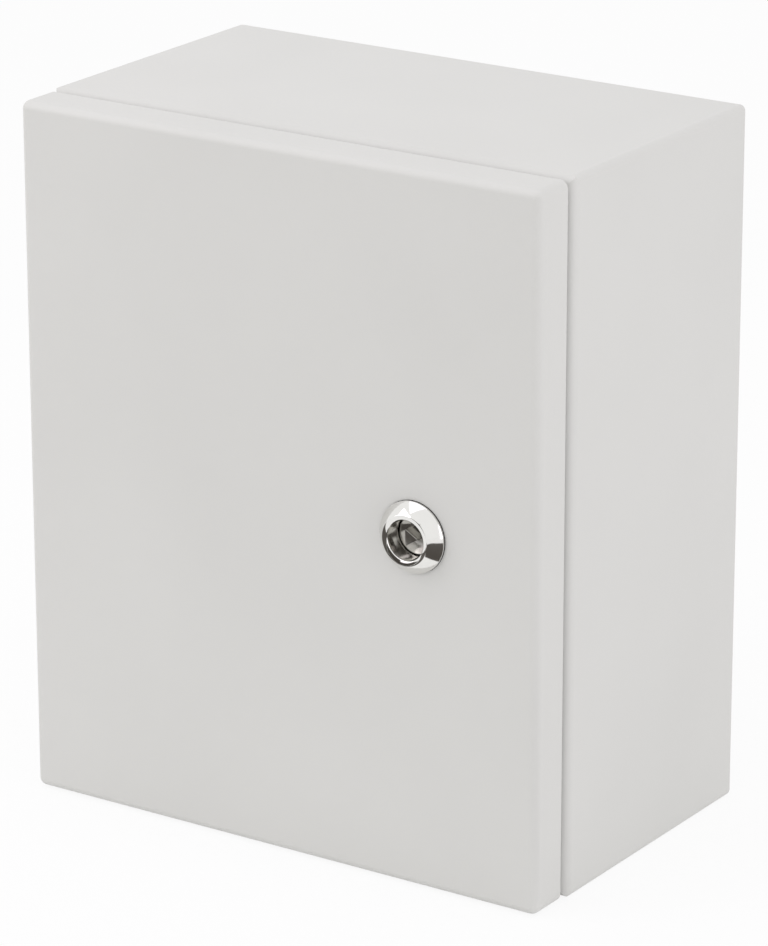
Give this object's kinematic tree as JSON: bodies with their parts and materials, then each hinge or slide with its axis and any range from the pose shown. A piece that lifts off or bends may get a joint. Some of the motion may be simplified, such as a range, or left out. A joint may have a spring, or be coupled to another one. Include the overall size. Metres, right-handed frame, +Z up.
{
  "type": "wall enclosure",
  "caption": "Wall-mounted sheet-steel electrical enclosure with a hinged tray door, concealed hinges, a quarter-turn cam lock, a mounting plate and a gland plate.",
  "frame": {"origin": "centre of the four wall holes, on the plane where the enclosure meets the wall", "axes": "+Z up, +Y into the wall, so the door faces -Y, and +X to the right of someone who faces the door"},
  "size_m": [0.25, 0.1615, 0.3],
  "materials": {
    "powder_coated_steel": "light grey textured powder coat",
    "galvanised_steel": "galvanised",
    "coppered_stud": "copper-plated weld stud",
    "zinc_plated_steel": "bright zinc",
    "spring_steel": "phosphated",
    "chromed_die_casting": "polished chrome",
    "die_cast_core": "satin die casting",
    "black_rubber": "matte",
    "foamed_seal": "closed skin foam"
  },
  "bodies": {
    "enclosure": {"body_wrapper": "powder_coated_steel", "rear_panel": "powder_coated_steel", "plate_studs": "coppered_stud", "plate_seat_nuts": "zinc_plated_steel", "mounting_plate": "galvanised_steel", "plate_washers": "zinc_plated_steel", "plate_nuts": "zinc_plated_steel", "gland_studs": "coppered_stud", "gland_seal": "black_rubber", "gland_plate": "galvanised_steel", "gland_washers": "zinc_plated_steel", "gland_nuts": "zinc_plated_steel", "body_earth_stud": "coppered_stud", "body_earth_washers": "zinc_plated_steel", "body_earth_nut": "zinc_plated_steel", "hinge_arm_upper": "powder_coated_steel", "hinge_arm_lower": "powder_coated_steel"},
    "door": {"door_panel": "powder_coated_steel", "door_seal": "foamed_seal", "hinge_bracket_upper": "powder_coated_steel", "hinge_bracket_lower": "powder_coated_steel", "hinge_pin_upper": "zinc_plated_steel", "hinge_pin_lower": "zinc_plated_steel", "hinge_pin_clips": "spring_steel", "door_earth_stud": "coppered_stud", "door_earth_washers": "zinc_plated_steel", "door_earth_nut": "zinc_plated_steel", "lock_housing": "chromed_die_casting", "lock_bezel_seal": "black_rubber", "lock_washer": "zinc_plated_steel", "lock_nut": "zinc_plated_steel"},
    "lock": {"lock_core": "die_cast_core", "lock_o_ring": "black_rubber", "lock_stop_disc": "zinc_plated_steel", "lock_cam": "zinc_plated_steel", "cam_washer": "zinc_plated_steel", "cam_screw": "zinc_plated_steel"}
  },
  "joints": [
    {"name": "door_swing", "type": "hinge", "parent": "enclosure", "child": "door", "pos_m": [-0.117, -0.1465, 0], "axis": [0, 0, -1], "range_deg": [0, 120]},
    {"name": "lock_turn", "type": "hinge", "parent": "door", "child": "lock", "pos_m": [0.0665, -0.14, 0], "axis": [0, 1, 0], "range_deg": [0, 90]}
  ]
}
